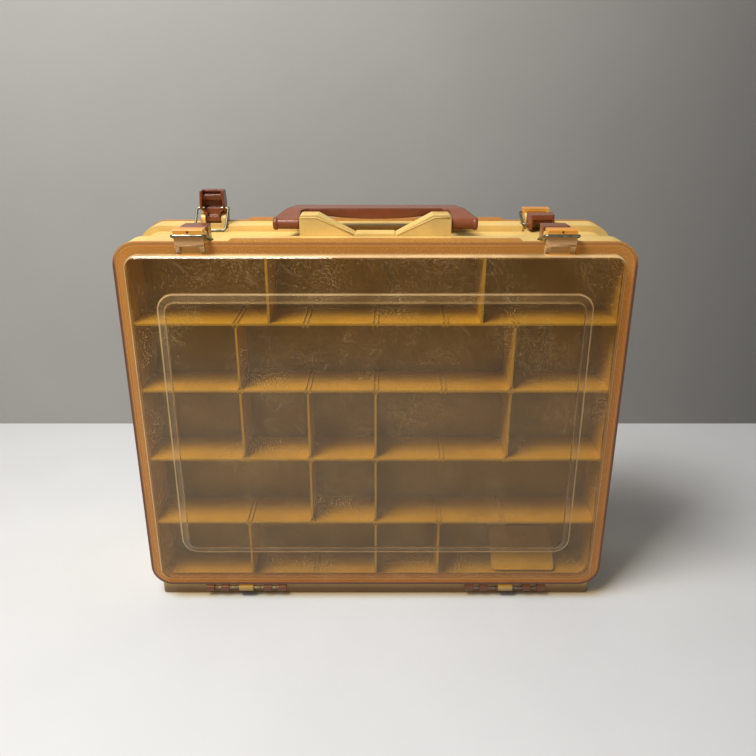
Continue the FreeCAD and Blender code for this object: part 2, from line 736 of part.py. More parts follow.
def make_handle():
    """Carrying handle lying back: the side view and the plan view, cut from one another."""
    inside = guard_half_width + handle_side_gap
    end = handle_axis_y + handle_reach
    grip_front = end - handle_grip_width
    axis_front = handle_axis_y - handle_boss_radius
    side_view = [(handle_axis_y, handle_axis_z + handle_boss_radius), (grip_front, level + handle_top),
                 (end, level + handle_top), (end, level + handle_grip_bottom),
                 (grip_front, level + handle_arm_bottom),
                 (handle_axis_y, handle_axis_z - handle_boss_radius)]
    body = prism_along_x(side_view, -handle_boss_end, handle_boss_end)
    ends = [edge for edge in upright_edges(body, V(1, 0, 0)) if edge.CenterOfMass.y > end - near]
    body = body.makeFillet(handle_edge_radius, ends)
    body = body.fuse(rod(handle_boss_radius, V(-handle_boss_end, handle_axis_y, handle_axis_z),
                         V(handle_boss_end, handle_axis_y, handle_axis_z)))
    plan = [(-handle_boss_end, axis_front), (handle_boss_end, axis_front), (handle_boss_end, handle_axis_y),
            (handle_end_half_width, end), (-handle_end_half_width, end), (-handle_boss_end, handle_axis_y)]
    plate = prism_along_z(plan, level, level + handle_top + handle_boss_radius)
    corners = [edge for edge in upright_edges(plate, V(0, 0, 1)) if edge.CenterOfMass.y > end - near]
    plate = plate.makeFillet(handle_corner_radius, corners)
    gap = box(-inside, inside, axis_front - 1, grip_front, level, level + handle_top + handle_boss_radius)
    back_edges = [edge for edge in upright_edges(gap, V(0, 0, 1)) if edge.CenterOfMass.y > grip_front - near]
    gap = gap.makeFillet(handle_corner_radius, back_edges)
    handle = body.common(plate).cut(gap)
    under = box(-inside, inside, grip_front - handle_corner_radius, end, level, level + handle_top)
    belly_z = level + handle_belly + handle_belly_radius
    belly = rod(handle_belly_radius, V(0, grip_front - handle_grip_width, belly_z),
                V(0, end + handle_grip_width, belly_z))
    handle = handle.cut(under.cut(belly))
    for side in (-1, 1):
        start = V(side * inside, handle_axis_y, handle_axis_z)
        stop = V(side * (handle_boss_end - handle_pin_tip_gap), handle_axis_y, handle_axis_z)
        handle = handle.cut(rod(handle_pin_radius + handle_pin_clearance, start, stop))
    return handle.removeSplitter()


pieces = {}
tray = make_tray()
front_lid = make_lid()
pieces["front_tray"] = tray.cut(guard_seat())
pieces["back_tray"] = turned(tray)
pieces["front_tray_floor"] = make_tray_floor()
pieces["back_tray_floor"] = turned(make_tray_floor())
pieces["front_foot_rail"] = make_foot_rail()
pieces["back_foot_rail"] = turned(make_foot_rail())
pieces["front_lid"] = front_lid
pieces["back_lid"] = turned(front_lid)

for index in range(len(row_heights)):
    shelf = make_shelf(index)
    pieces["front_row_shelf_%d" % (index + 1)] = shelf
    pieces["back_row_shelf_%d" % (index + 1)] = turned(shelf)

for side_name, side in (("left", -1), ("right", 1)):
    pieces["front_row_1_wall_" + side_name] = make_fixed_wall(side)
    pieces["back_row_1_wall_" + side_name] = turned(make_fixed_wall(-side))

for row, slots in front_divider_slots.items():
    for number, step in enumerate(slots, 1):
        pieces["front_row_%d_divider_%d" % (row, number)] = make_divider(row, step)
for row, slots in back_divider_slots.items():
    for number, step in enumerate(slots, 1):
        pieces["back_row_%d_divider_%d" % (row, number)] = turned(make_divider(row, -step))
pieces["spare_divider"] = make_spare_divider()

for side_name, side in (("left", -1), ("right", 1)):
    pieces["front_hinge_pin_" + side_name] = make_hinge_pin(side * hinge_place)
    pieces["back_hinge_pin_" + side_name] = turned(make_hinge_pin(-side * hinge_place))
    pieces["front_latch_pin_" + side_name] = make_latch_pin(side * latch_place)
    pieces["back_latch_pin_" + side_name] = turned(make_latch_pin(-side * latch_place))
    pieces["front_latch_lever_" + side_name] = placed_lever(side * latch_place, 0)
    pieces["front_latch_bail_" + side_name] = placed_bail(side * latch_place, bail_pivot_out, bail_pivot_up,
                                                          hooked_angle)
    pieces["handle_pin_" + side_name] = make_handle_pin(side)

pieces["back_latch_lever_right"] = turned(placed_lever(-latch_place, 0))
pieces["back_latch_bail_right"] = turned(placed_bail(-latch_place, bail_pivot_out, bail_pivot_up,
                                                     hooked_angle))
pieces["back_latch_lever_left"] = turned(placed_lever(latch_place, 90))
pieces["back_latch_bail_left"] = turned(placed_bail(latch_place, open_bail_pivot_out, open_bail_pivot_up,
                                                    dropped_angle))

pieces["handle_guard"] = make_guard()
pieces["handle"] = make_handle()

for name, shape in pieces.items():
    solid = shape.Solids[0] if len(shape.Solids) == 1 else shape
    solid.exportStep("parts/%s.step" % name)
    corner = solid.BoundBox
    print("%-28s solids %d valid %s  %.1f..%.1f  %.1f..%.1f  %.1f..%.1f" % (
        name, len(shape.Solids), shape.isValid(), corner.XMin, corner.XMax, corner.YMin, corner.YMax,
        corner.ZMin, corner.ZMax))
print("bail reach %.3f hooked %.3f dropped %.3f" % (bail_reach, hooked_angle, dropped_angle))
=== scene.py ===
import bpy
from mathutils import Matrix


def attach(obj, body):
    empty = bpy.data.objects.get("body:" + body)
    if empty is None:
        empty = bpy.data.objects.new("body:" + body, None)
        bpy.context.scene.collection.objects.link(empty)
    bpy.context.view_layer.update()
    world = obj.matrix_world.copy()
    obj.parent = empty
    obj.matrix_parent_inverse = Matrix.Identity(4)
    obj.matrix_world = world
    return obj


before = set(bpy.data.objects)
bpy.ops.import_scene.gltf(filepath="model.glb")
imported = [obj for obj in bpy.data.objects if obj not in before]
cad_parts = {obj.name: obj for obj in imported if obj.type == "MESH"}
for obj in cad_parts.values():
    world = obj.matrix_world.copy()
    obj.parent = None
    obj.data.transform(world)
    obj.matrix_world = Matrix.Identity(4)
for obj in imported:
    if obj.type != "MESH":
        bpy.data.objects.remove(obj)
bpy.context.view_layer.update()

import math

import bpy
import bmesh
from mathutils import Vector

bl_info = {
    "name": "Tackle box looks",
    "version": (1, 0, 0),
    "blender": (4, 5, 0),
    "location": "3D View > Sidebar > Tackle box",
    "description": "Dresses the packed tackle box in its plastics, wire and steel, and sets its stage",
    "category": "Object",
}

MM = 0.001
NODES = sorted(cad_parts)

# Places on a lid: its middle, its panel's slope, and the keepers on its top edge
LID_MIDDLE = 165.5 * MM
PANEL_HALF_WIDTH = 162 * MM
PANEL_HALF_HEIGHT = 111 * MM
PANEL_CORNER = 10 * MM
LID_FOOT = 13.2 * MM
KEEPER_PLACE = 137 * MM
KEEPER_REACH = 11.2 * MM
KEEPER_FOOT = 308.2 * MM


# Values that the user can change

class PlasticSettings(bpy.types.PropertyGroup):
    """Colours and wear of the moulded plastics."""

    tan_colour: bpy.props.StringProperty(
        name="Tan", description="sRGB hex colour of the moulded trays", default="#DCB86B")
    # Painted shade: colour of the darkening in the trays' corners and recesses, patchy like grime
    tan_shade_and_grime: bpy.props.StringProperty(
        name="Tan grime", description="sRGB hex colour of the dirt in the trays' corners", default="#7A5C30")
    tan_edge: bpy.props.StringProperty(
        name="Tan edge", description="sRGB hex colour of the trays' rubbed edges", default="#EFD596")
    # Painted shade: a darker tan for the trays' floors, standing in for the shade deep in the cells
    floor_shade_colour: bpy.props.StringProperty(
        name="Shaded floor tan", description="sRGB hex colour of the trays' floors, dulled by years of tackle",
        default="#AC924A")
    amber_colour: bpy.props.StringProperty(
        name="Amber", description="sRGB hex colour of white light that has crossed one wall of the lid",
        default="#E6D69C")
    amber_wall: bpy.props.FloatProperty(
        name="Amber wall", description="Thickness of that wall", default=2.2 * MM,
        min=0.0001, unit="LENGTH")
    amber_haze: bpy.props.StringProperty(
        name="Thick amber", description="sRGB hex colour of the lid's thick parts", default="#BC7838")
    # Also the colour of the painted highlight lines along the lid's edges
    haze_and_highlight_colour: bpy.props.StringProperty(
        name="Haze", description="sRGB hex colour of the lid's film, scratches and rubbed edges",
        default="#DDB882")
    brown_colour: bpy.props.StringProperty(
        name="Brown", description="sRGB hex colour of the handle and the latch levers", default="#7D4226")
    brown_edge: bpy.props.StringProperty(
        name="Brown edge", description="sRGB hex colour of the brown plastic's rubbed edges", default="#A9663F")
    # Painted shade: colour of the lid's shaded outer edge, hem line and hinge knuckles
    rim_shade_colour: bpy.props.StringProperty(
        name="Lid rim", description="sRGB hex colour of the lid's outer edge and hinge knuckles",
        default="#6E4430")
    haze_amount: bpy.props.FloatProperty(
        name="Haze amount", description="Share of the lid's surface that scatters light", default=0.05,
        min=0.0, max=1.0, subtype="FACTOR")


class MetalSettings(bpy.types.PropertyGroup):
    """Colours of the wire bails and the pins."""

    wire_colour: bpy.props.StringProperty(
        name="Bail wire", description="sRGB hex colour of the plated wire", default="#8E8B78")
    pin_colour: bpy.props.StringProperty(
        name="Pins", description="sRGB hex colour of the drawn steel pins", default="#8F8C86")


class StageSettings(bpy.types.PropertyGroup):
    """Floor, backdrop, lamps and camera."""

    table_colour: bpy.props.StringProperty(
        name="Table", description="sRGB hex colour of the pale tabletop", default="#DAD9D7")
    wall_colour: bpy.props.StringProperty(
        name="Wall", description="sRGB hex colour of the backdrop", default="#A3A09A")
    key_power: bpy.props.FloatProperty(
        name="Key lamp", description="Power of the large lamp over the case", default=19.0, min=0.0, unit="POWER")
    fill_power: bpy.props.FloatProperty(
        name="Fill lamp", description="Power of the lamp in front of the case", default=1.2, min=0.0, unit="POWER")
    camera_distance: bpy.props.FloatProperty(
        name="Camera distance", description="From the middle of the case to the camera, along the floor",
        default=0.607, min=0.1, unit="LENGTH")
    camera_height: bpy.props.FloatProperty(
        name="Camera height", description="Height of the camera over the floor", default=0.4286, min=0.0,
        unit="LENGTH")
    camera_side: bpy.props.FloatProperty(
        name="Camera side step", description="Camera's place along the case", default=0.002, unit="LENGTH")
    camera_pitch: bpy.props.FloatProperty(
        name="Camera pitch", description="Angle below level", default=math.radians(21.4), subtype="ANGLE")
    camera_yaw: bpy.props.FloatProperty(
        name="Camera yaw", description="Turn to the right", default=0.0, subtype="ANGLE")
    camera_focal: bpy.props.FloatProperty(
        name="Focal length", description="In millimetres, on a 36 mm sensor", default=36.05, min=1.0)


# Nodes of the materials

def linear(hex_colour):
    """sRGB hex to a linear colour."""
    out = []
    for start in (1, 3, 5):
        value = int(hex_colour[start:start + 2], 16) / 255
        out.append(value / 12.92 if value <= 0.04045 else ((value + 0.055) / 1.055) ** 2.4)
    return (*out, 1.0)


def add(tree, kind, settings=None, values=None, links=None):
    """Adds a node with its settings, its sockets' own values and its links."""
    made = tree.nodes.new(kind)
    for name, value in (settings or {}).items():
        setattr(made, name, value)
    for name, value in (values or {}).items():
        made.inputs[name].default_value = value
    for name, source in (links or {}).items():
        tree.links.new(source, made.inputs[name])
    return made


def new_material(name):
    material = bpy.data.materials.new(name)
    material.use_nodes = True
    material.node_tree.nodes.clear()
    return material, material.node_tree


def ramp_between(tree, fac, stops):
    """Colour ramp with stops of place and linear colour."""
    made = add(tree, "ShaderNodeValToRGB", links={"Fac": fac})
    ramp = made.color_ramp
    while len(ramp.elements) < len(stops):
        ramp.elements.new(0.5)
    for element, (place, colour) in zip(ramp.elements, stops):
        element.position = place
        element.color = colour
    return made.outputs["Color"]


def grey(value):
    return (value, value, value, 1.0)


def edge_mask(tree, radius):
    """One along a piece's edges and nothing on its faces."""
    rounded = add(tree, "ShaderNodeBevel", {"samples": 4}, {"Radius": radius}).outputs["Normal"]
    flat = add(tree, "ShaderNodeNewGeometry").outputs["Normal"]
    close = add(tree, "ShaderNodeVectorMath", {"operation": "DOT_PRODUCT"}, links={0: rounded, 1: flat}).outputs["Value"]
    return ramp_between(tree, close, [(0.86, grey(1.0)), (0.97, grey(0.0))])


def moulded_polypropylene(settings, name="tan_polypropylene_moulded_satin", colour=None):
    """Tan polypropylene, injection moulded: satin, slightly mottled, with painted shade in its corners and towards the
    floor, dark specks, rubbed edges and fine scuffs.
    """
    material, tree = new_material(name)
    place = add(tree, "ShaderNodeTexCoord").outputs["Object"]
    mottle = add(tree, "ShaderNodeTexNoise", values={"Scale": 1 / (38 * MM), "Detail": 4.0, "Roughness": 0.6},
                 links={"Vector": place}).outputs["Fac"]
    tan = linear(colour or settings.tan_colour)
    dark = tuple(v * 0.80 for v in tan[:3]) + (1.0,)
    pale = tuple(min(1.0, v * 1.10) for v in tan[:3]) + (1.0,)
    base = ramp_between(tree, mottle, [(0.30, dark), (0.52, tan), (0.74, pale)])
    # Painted shade: darker in corners and recesses, broken into patches like grime
    shut_in = add(tree, "ShaderNodeAmbientOcclusion", {"samples": 4, "only_local": True},
                  {"Distance": 9 * MM}).outputs["AO"]
    shade_and_grime_patches = add(tree, "ShaderNodeTexNoise", values={"Scale": 1 / (5 * MM), "Detail": 5.0, "Roughness": 0.7},
                     links={"Vector": place}).outputs["Fac"]
    corner_shade_and_grime = add(tree, "ShaderNodeMath", {"operation": "MULTIPLY_ADD"}, {1: -1.3, 2: 0.95}, {0: shut_in})
    corner_shade_and_grime = add(tree, "ShaderNodeMath", {"operation": "MULTIPLY", "use_clamp": True},
               links={0: corner_shade_and_grime.outputs[0], 1: shade_and_grime_patches}).outputs[0]
    base = add(tree, "ShaderNodeMix", {"data_type": "RGBA"}, {"B": linear(settings.tan_shade_and_grime)},
               {"Factor": corner_shade_and_grime, "A": base}).outputs["Result"]
    # Painted shade: darker towards the floor, where the lid shades the foot rails
    height = add(tree, "ShaderNodeSeparateXYZ", links={"Vector": place}).outputs["Z"]
    low_painted_shade = add(tree, "ShaderNodeMapRange",
              values={"From Min": 15 * MM, "From Max": 4 * MM, "To Min": 0.0, "To Max": 0.9},
              links={"Value": height}).outputs["Result"]
    base = add(tree, "ShaderNodeMix", {"data_type": "RGBA"}, {"B": linear("#6A4E36")},
               {"Factor": low_painted_shade, "A": base}).outputs["Result"]
    specks = add(tree, "ShaderNodeTexVoronoi", values={"Scale": 1 / (7 * MM), "Randomness": 1.0},
                 links={"Vector": place}).outputs["Distance"]
    speck_mask = ramp_between(tree, specks, [(0.030, grey(1.0)), (0.045, grey(0.0))])
    speck_mask = add(tree, "ShaderNodeMath", {"operation": "MULTIPLY"}, {1: 0.45}, {0: speck_mask}).outputs[0]
    base = add(tree, "ShaderNodeMix", {"data_type": "RGBA"}, {"B": linear("#5A3E1E")},
               {"Factor": speck_mask, "A": base}).outputs["Result"]
    rubbed = add(tree, "ShaderNodeMath", {"operation": "MULTIPLY"}, {1: 0.35},
                 {0: edge_mask(tree, 0.6 * MM)}).outputs[0]
    base = add(tree, "ShaderNodeMix", {"data_type": "RGBA"}, {"B": linear(settings.tan_edge)},
               {"Factor": rubbed, "A": base}).outputs["Result"]
    grain = add(tree, "ShaderNodeTexNoise", values={"Scale": 1 / (0.7 * MM), "Detail": 2.0, "Roughness": 0.5},
                links={"Vector": place}).outputs["Fac"]
    scuff_place = add(tree, "ShaderNodeMapping", {"vector_type": "TEXTURE"},
                      {"Scale": (3.0, 1.0, 1.0), "Rotation": (0.2, 0.5, 0.4)}, {"Vector": place}).outputs["Vector"]
    scuff = add(tree, "ShaderNodeTexNoise", values={"Scale": 1 / (11 * MM), "Detail": 6.0, "Roughness": 0.75},
                links={"Vector": scuff_place}).outputs["Fac"]
    rough = ramp_between(tree, scuff, [(0.35, grey(0.36)), (0.55, grey(0.44)), (0.70, grey(0.62))])
    bump = add(tree, "ShaderNodeBump", values={"Strength": 0.12, "Distance": 0.05 * MM},
               links={"Height": grain})
    bump = add(tree, "ShaderNodeBump", values={"Strength": 0.25, "Distance": 0.08 * MM},
               links={"Height": scuff, "Normal": bump.outputs["Normal"]})
    edge = add(tree, "ShaderNodeBevel", {"samples": 3}, {"Radius": 0.5 * MM},
               {"Normal": bump.outputs["Normal"]}).outputs["Normal"]
    shader = add(tree, "ShaderNodeBsdfPrincipled",
                 values={"IOR": 1.49, "Subsurface Weight": 0.12, "Subsurface Scale": 1.2 * MM,
                         "Subsurface Radius": (1.0, 0.6, 0.25)},
                 links={"Base Color": base, "Roughness": rough, "Normal": edge})
    add(tree, "ShaderNodeOutputMaterial", links={"Surface": shader.outputs["BSDF"]})
    return material


def lid_outline_band(tree, place, half_width, half_height, corner, stops):
    """Mask along a rounded rectangle on a lid, from stops of distance outwards in mm and share."""
    here = add(tree, "ShaderNodeVectorMath", {"operation": "SUBTRACT"}, {1: (0.0, 0.0, LID_MIDDLE)},
               {0: place}).outputs[0]
    here = add(tree, "ShaderNodeVectorMath", {"operation": "MULTIPLY"}, {1: (1.0, 0.0, 1.0)}, {0: here}).outputs[0]
    here = add(tree, "ShaderNodeVectorMath", {"operation": "ABSOLUTE"}, links={0: here}).outputs[0]
    here = add(tree, "ShaderNodeVectorMath", {"operation": "SUBTRACT"},
               {1: (half_width - corner, 0.0, half_height - corner)}, {0: here}).outputs[0]
    here = add(tree, "ShaderNodeVectorMath", {"operation": "MAXIMUM"}, {1: (0.0, 0.0, 0.0)}, {0: here}).outputs[0]
    away = add(tree, "ShaderNodeVectorMath", {"operation": "LENGTH"}, links={0: here}).outputs["Value"]
    away = add(tree, "ShaderNodeMath", {"operation": "MULTIPLY_ADD"},
               {1: 1 / (10 * MM), 2: 0.5 - corner / (10 * MM)}, {0: away}).outputs[0]
    return ramp_between(tree, away, [(0.5 + distance / 10, grey(share)) for distance, share in stops])


def keeper_mask(tree, place):
    """One on the keepers that stand on a lid's top edge, and nothing elsewhere."""
    axes = add(tree, "ShaderNodeSeparateXYZ", links={"Vector": place}).outputs
    aside = add(tree, "ShaderNodeMath", {"operation": "ABSOLUTE"}, links={0: axes["X"]}).outputs[0]
    beside = add(tree, "ShaderNodeMath", {"operation": "COMPARE"}, {1: KEEPER_PLACE, 2: KEEPER_REACH},
                 {0: aside}).outputs[0]
    above = add(tree, "ShaderNodeMath", {"operation": "GREATER_THAN"}, {1: KEEPER_FOOT}, {0: axes["Z"]}).outputs[0]
    return add(tree, "ShaderNodeMath", {"operation": "MULTIPLY"}, links={0: beside, 1: above}).outputs[0]


def clear_styrene(settings):
    """Amber clear styrene, injection moulded: glossy where it is clean, hazy, rubbed and dusty where it was handled,
    with painted highlight lines along its edges, a painted glow on the flange and painted shade on its outer edge and
    knuckles.
    """
    material, tree = new_material("amber_styrene_clear_scuffed")
    place = add(tree, "ShaderNodeTexCoord").outputs["Object"]
    film = add(tree, "ShaderNodeTexNoise", values={"Scale": 1 / (55 * MM), "Detail": 6.0, "Roughness": 0.65},
               links={"Vector": place}).outputs["Fac"]
    # Short pale scratches two ways, and dust that has gathered in patches
    marks = []
    for turn, stretch, size, inner, outer in ((0.6, 5.0, 9.0, 0.08, 0.14), (2.3, 6.0, 11.0, 0.08, 0.14),
                                              (0.0, 1.0, 1.3, 0.16, 0.30)):
        turned = add(tree, "ShaderNodeMapping", {"vector_type": "TEXTURE"},
                     {"Scale": (1.0, 1.0, stretch), "Rotation": (0.0, turn, 0.0)}, {"Vector": place})
        turned = turned.outputs["Vector"]
        cells = add(tree, "ShaderNodeTexVoronoi", values={"Scale": 1 / (size * MM), "Randomness": 1.0},
                    links={"Vector": turned}).outputs["Distance"]
        marks.append(ramp_between(tree, cells, [(inner, grey(1.0)), (outer, grey(0.0))]))
    patches = ramp_between(tree, film, [(0.42, grey(0.06)), (0.62, grey(0.75))])
    dust = add(tree, "ShaderNodeMath", {"operation": "MULTIPLY"}, links={0: marks[2], 1: patches}).outputs[0]
    scratches = add(tree, "ShaderNodeMath", {"operation": "MAXIMUM"}, links={0: marks[0], 1: marks[1]}).outputs[0]
    scratches = add(tree, "ShaderNodeMath", {"operation": "MULTIPLY"}, {1: 0.07}, {0: scratches}).outputs[0]
    # Rubbed bands and lines along the panel's slope, the raised face and the hem, which also paint the highlight lines
    # along these edges
    worn_and_highlight_lines = lid_outline_band(tree, place, PANEL_HALF_WIDTH, PANEL_HALF_HEIGHT, PANEL_CORNER,
                     [(-3.8, 0.0), (-3.2, 0.22), (-2.8, 0.22), (-2.2, 0.03), (2.0, 0.04), (2.5, 0.55),
                      (3.3, 0.55), (3.9, 0.0)])
    for half_width, half_height, corner, share in ((187 * MM, 142.5 * MM, 9 * MM, 0.85),
                                                   (193.6 * MM, 149.1 * MM, 14.6 * MM, 0.22)):
        line = lid_outline_band(tree, place, half_width, half_height, corner,
                         [(-0.9, 0.0), (-0.4, share), (0.4, share), (0.9, 0.0)])
        worn_and_highlight_lines = add(tree, "ShaderNodeMath", {"operation": "MAXIMUM"}, links={0: worn_and_highlight_lines, 1: line}).outputs[0]
    uneven = ramp_between(tree, film, [(0.35, grey(0.55)), (0.60, grey(1.0))])
    worn_and_highlight_lines = add(tree, "ShaderNodeMath", {"operation": "MULTIPLY"}, links={0: worn_and_highlight_lines, 1: uneven}).outputs[0]
    pale = add(tree, "ShaderNodeMath", {"operation": "MAXIMUM"}, links={0: dust, 1: scratches}).outputs[0]
    pale = add(tree, "ShaderNodeMath", {"operation": "MAXIMUM"}, links={0: pale, 1: worn_and_highlight_lines}).outputs[0]
    keeper = keeper_mask(tree, place)
    thick = add(tree, "ShaderNodeMath", {"operation": "MULTIPLY"}, {1: 0.85}, {0: keeper}).outputs[0]
    # The outer edge and the hinge knuckles are seen through their depth; their dark brown haze, with a line along the
    # hem, is painted shade, kept off the lit top
    rim_shade = lid_outline_band(tree, place, 197 * MM, 152.5 * MM, 18 * MM, [(-2.4, 0.0), (-1.6, 1.0)])
    height = add(tree, "ShaderNodeSeparateXYZ", links={"Vector": place}).outputs["Z"]
    below_top = add(tree, "ShaderNodeMapRange", values={"From Min": 312 * MM, "From Max": 300 * MM},
                    links={"Value": height}).outputs["Result"]
    rim_shade = add(tree, "ShaderNodeMath", {"operation": "MULTIPLY"}, links={0: rim_shade, 1: below_top}).outputs[0]
    seam_shade = lid_outline_band(tree, place, 195.2 * MM, 150.7 * MM, 16.2 * MM,
                     [(-0.9, 0.0), (-0.4, 0.5), (0.4, 0.5), (0.9, 0.0)])
    rim_shade = add(tree, "ShaderNodeMath", {"operation": "MAXIMUM"}, links={0: rim_shade, 1: seam_shade}).outputs[0]
    low_painted_shade = add(tree, "ShaderNodeMath", {"operation": "LESS_THAN"}, {1: LID_FOOT}, {0: height}).outputs[0]
    rim_shade = add(tree, "ShaderNodeMath", {"operation": "MAXIMUM"}, links={0: rim_shade, 1: low_painted_shade}).outputs[0]
    thick = add(tree, "ShaderNodeMath", {"operation": "MULTIPLY_ADD"}, {1: 0.5}, {0: rim_shade, 2: thick}).outputs[0]
    # Painted light: the flange gets a peach-orange haze that stands in for the lit tan rim glowing through it
    flange_painted_glow = lid_outline_band(tree, place, 191 * MM, 146.5 * MM, 12 * MM,
                       [(-3.6, 0.0), (-2.8, 1.0), (4.9, 1.0)])
    thick = add(tree, "ShaderNodeMath", {"operation": "MULTIPLY_ADD"}, {1: 0.45}, {0: flange_painted_glow, 2: thick}).outputs[0]
    cover = add(tree, "ShaderNodeMath", {"operation": "MULTIPLY_ADD"}, {1: settings.haze_amount},
                {0: film, 2: thick}).outputs[0]
    cover = add(tree, "ShaderNodeMath", {"operation": "ADD", "use_clamp": True},
                links={0: cover, 1: pale}).outputs[0]
    rough = ramp_between(tree, film, [(0.35, grey(0.04)), (0.55, grey(0.08)), (0.72, grey(0.15))])
    # Most of the colour is taken at the two surfaces of a wall, so that it doesn't grow with the light's slant
    amber = linear(settings.amber_colour)[:3]
    glass = add(tree, "ShaderNodeBsdfPrincipled",
                values={"Base Color": (*(v ** 0.8 for v in amber), 1.0), "IOR": 1.5, "Transmission Weight": 1.0},
                links={"Roughness": rough})
    # Painted highlight: the keepers' edges are made paler
    edges = edge_mask(tree, 0.7 * MM)
    keeper_top = add(tree, "ShaderNodeMapRange", values={"From Min": 319 * MM, "From Max": 323 * MM},
                     links={"Value": height}).outputs["Result"]
    keeper_face = add(tree, "ShaderNodeMix", {"data_type": "RGBA"},
                      {"A": linear("#E0AA70"), "B": linear("#DE9232")}, {"Factor": keeper_top}).outputs["Result"]
    # Painted highlight colour along the keepers' edges
    keeper_colour = add(tree, "ShaderNodeMix", {"data_type": "RGBA"}, {"B": linear("#F0D090")},
                        {"Factor": edges, "A": keeper_face})
    # The flange's painted glow tints the haze peach-orange
    film_colour = add(tree, "ShaderNodeMix", {"data_type": "RGBA"},
                      {"A": linear(settings.haze_and_highlight_colour), "B": linear("#DC964E")},
                      {"Factor": flange_painted_glow}).outputs["Result"]
    film_colour = add(tree, "ShaderNodeMix", {"data_type": "RGBA"},
                      links={"Factor": keeper, "A": film_colour,
                             "B": keeper_colour.outputs["Result"]}).outputs["Result"]
    film_colour = add(tree, "ShaderNodeMix", {"data_type": "RGBA"}, {"B": linear(settings.rim_shade_colour)},
                      {"Factor": rim_shade, "A": film_colour}).outputs["Result"]
    film_rough = add(tree, "ShaderNodeMath", {"operation": "MULTIPLY_ADD"}, {1: -0.30, 2: 0.50},
                     {0: keeper}).outputs[0]
    haze = add(tree, "ShaderNodeBsdfPrincipled", values={"IOR": 1.5},
               links={"Base Color": film_colour, "Roughness": film_rough})
    surface = add(tree, "ShaderNodeMixShader", links={"Fac": cover, 1: glass.outputs["BSDF"],
                                                       2: haze.outputs["BSDF"]})
    # Light on its way to the trays passes straight through, and the volume colours it
    rays = add(tree, "ShaderNodeLightPath").outputs
    share = add(tree, "ShaderNodeMix", {"data_type": "RGBA"},
                {"A": (*(v ** 0.4 * 0.75 for v in amber), 1.0), "B": (*(v ** 0.4 for v in amber), 1.0)},
                {"Factor": rays["Is Shadow Ray"]}).outputs["Result"]
    pane = add(tree, "ShaderNodeBsdfTransparent", links={"Color": share})
    soft = add(tree, "ShaderNodeMath", {"operation": "MAXIMUM"},
               links={0: rays["Is Shadow Ray"], 1: rays["Is Diffuse Ray"]}).outputs[0]
    surface = add(tree, "ShaderNodeMixShader", links={"Fac": soft, 1: surface.outputs["Shader"],
                                                       2: pane.outputs["BSDF"]})
    strengths = [-0.2 * math.log(v) / settings.amber_wall for v in amber]
    density = max(strengths)
    tint = tuple(1.0 - strength / density for strength in strengths) + (1.0,)
    inside = add(tree, "ShaderNodeVolumeAbsorption", values={"Color": tint, "Density": density})
    add(tree, "ShaderNodeOutputMaterial", links={"Surface": surface.outputs["Shader"],
                                                 "Volume": inside.outputs["Volume"]})
    return material


def moulded_brown_abs(settings):
    """Brown ABS, injection moulded and handled for years: semi-gloss, rubbed paler along its edges."""
    material, tree = new_material("brown_abs_moulded_worn")
    place = add(tree, "ShaderNodeTexCoord").outputs["Object"]
    brown = linear(settings.brown_colour)
    mottle = add(tree, "ShaderNodeTexNoise", values={"Scale": 1 / (14 * MM), "Detail": 5.0, "Roughness": 0.6},
                 links={"Vector": place}).outputs["Fac"]
    dark = tuple(v * 0.86 for v in brown[:3]) + (1.0,)
    pale = tuple(v * 1.14 for v in brown[:3]) + (1.0,)
    base = ramp_between(tree, mottle, [(0.30, dark), (0.55, brown), (0.78, pale)])
    rubbed = add(tree, "ShaderNodeMath", {"operation": "MULTIPLY"}, {1: 0.40},
                 {0: edge_mask(tree, 0.6 * MM)}).outputs[0]
    base = add(tree, "ShaderNodeMix", {"data_type": "RGBA"}, {"B": linear(settings.brown_edge)},
               {"Factor": rubbed, "A": base}).outputs["Result"]
    grain = add(tree, "ShaderNodeTexNoise", values={"Scale": 1 / (1.1 * MM), "Detail": 3.0},
                links={"Vector": place}).outputs["Fac"]
    rough = ramp_between(tree, mottle, [(0.30, grey(0.18)), (0.70, grey(0.27))])
    bump = add(tree, "ShaderNodeBump", values={"Strength": 0.15, "Distance": 0.05 * MM}, links={"Height": grain})
    edge = add(tree, "ShaderNodeBevel", {"samples": 3}, {"Radius": 2.0 * MM},
               {"Normal": bump.outputs["Normal"]}).outputs["Normal"]
    shader = add(tree, "ShaderNodeBsdfPrincipled", values={"IOR": 1.53, "Specular IOR Level": 0.42},
                 links={"Base Color": base, "Roughness": rough, "Normal": edge})
    add(tree, "ShaderNodeOutputMaterial", links={"Surface": shader.outputs["BSDF"]})
    return material


def plated_wire(settings):
    """Plated spring wire: dull grey metal with tarnish in patches and drawing lines along it."""
    material, tree = new_material("steel_wire_plated_tarnished")
    place = add(tree, "ShaderNodeTexCoord").outputs["Object"]
    patches = add(tree, "ShaderNodeTexNoise", values={"Scale": 1 / (4 * MM), "Detail": 5.0, "Roughness": 0.7},
                  links={"Vector": place}).outputs["Fac"]
    bright = linear(settings.wire_colour)
    dull = linear("#5B5442")
    base = ramp_between(tree, patches, [(0.35, dull), (0.55, bright), (0.75, linear("#B4AF96"))])
    rough = ramp_between(tree, patches, [(0.35, grey(0.55)), (0.65, grey(0.26))])
    bump = add(tree, "ShaderNodeBump", values={"Strength": 0.3, "Distance": 0.04 * MM}, links={"Height": patches})
    shader = add(tree, "ShaderNodeBsdfPrincipled", values={"Metallic": 1.0},
                 links={"Base Color": base, "Roughness": rough, "Normal": bump.outputs["Normal"]})
    add(tree, "ShaderNodeOutputMaterial", links={"Surface": shader.outputs["BSDF"]})
    return material


